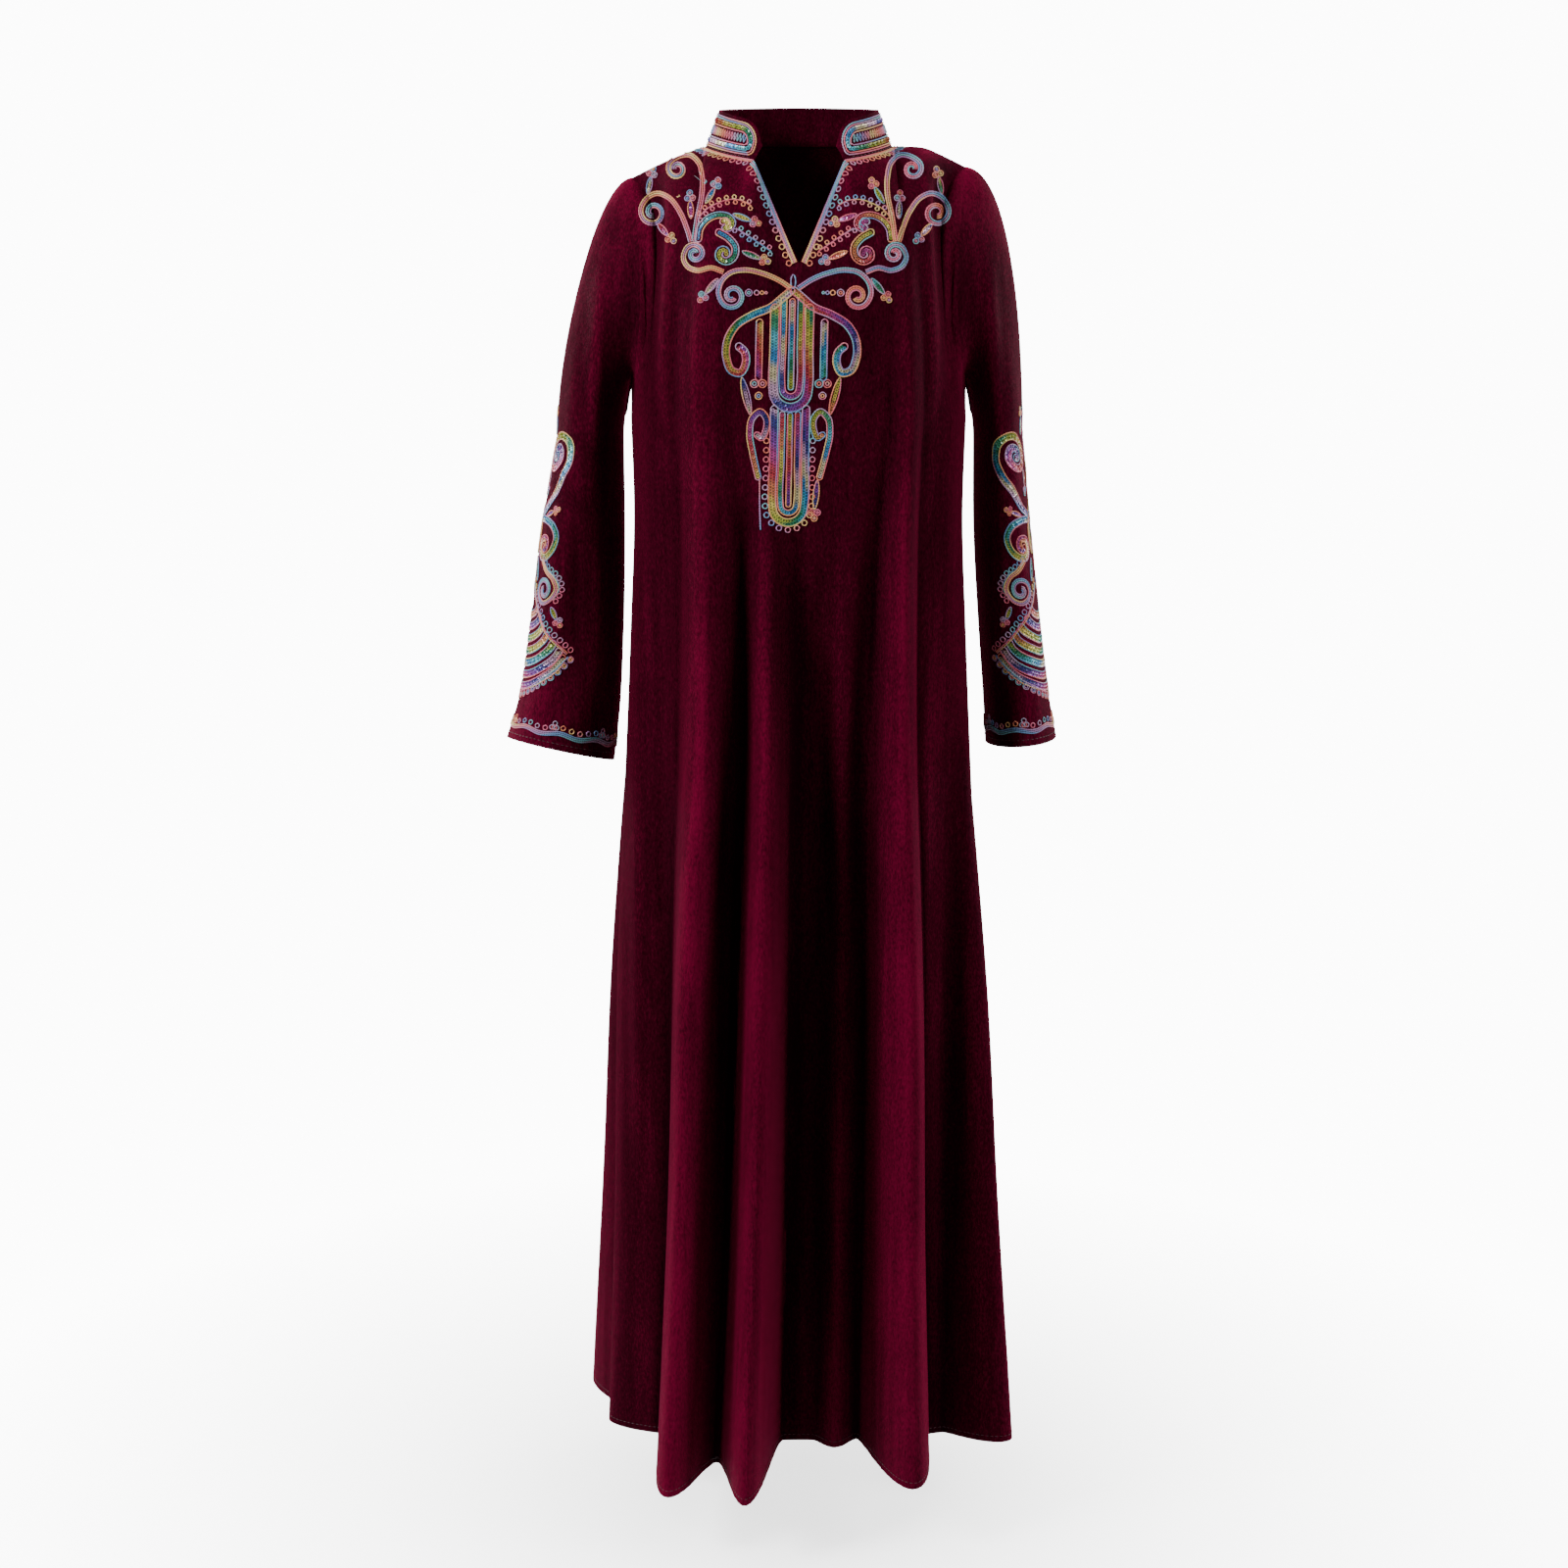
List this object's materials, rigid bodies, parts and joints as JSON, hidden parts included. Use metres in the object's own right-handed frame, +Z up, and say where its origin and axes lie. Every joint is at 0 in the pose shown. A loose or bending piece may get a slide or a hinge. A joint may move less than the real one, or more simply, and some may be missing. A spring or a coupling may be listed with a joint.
{
  "type": "abaya",
  "caption": "Long velvet abaya in worn form: A-line body with deep hanging folds, V slit, stand collar, and long flared sleeves.",
  "frame": {"origin": "midway between the shoulders at the height of the neck points, where the wearer holds the garment up", "axes": "+Z up along the garment, -Y out of the front, +X towards the wearer's left"},
  "size_m": [0.603, 0.3898, 1.4639],
  "materials": {
    "velvet": "burgundy velvet with a soft sheen",
    "embroidery": "space-dyed chain-stitched cord with iridescent sequins"
  },
  "bodies": {
    "root": {"front": "velvet", "back": "velvet", "sleeve_right": "velvet", "sleeve_left": "velvet", "collar": "velvet"}
  },
  "joints": []
}
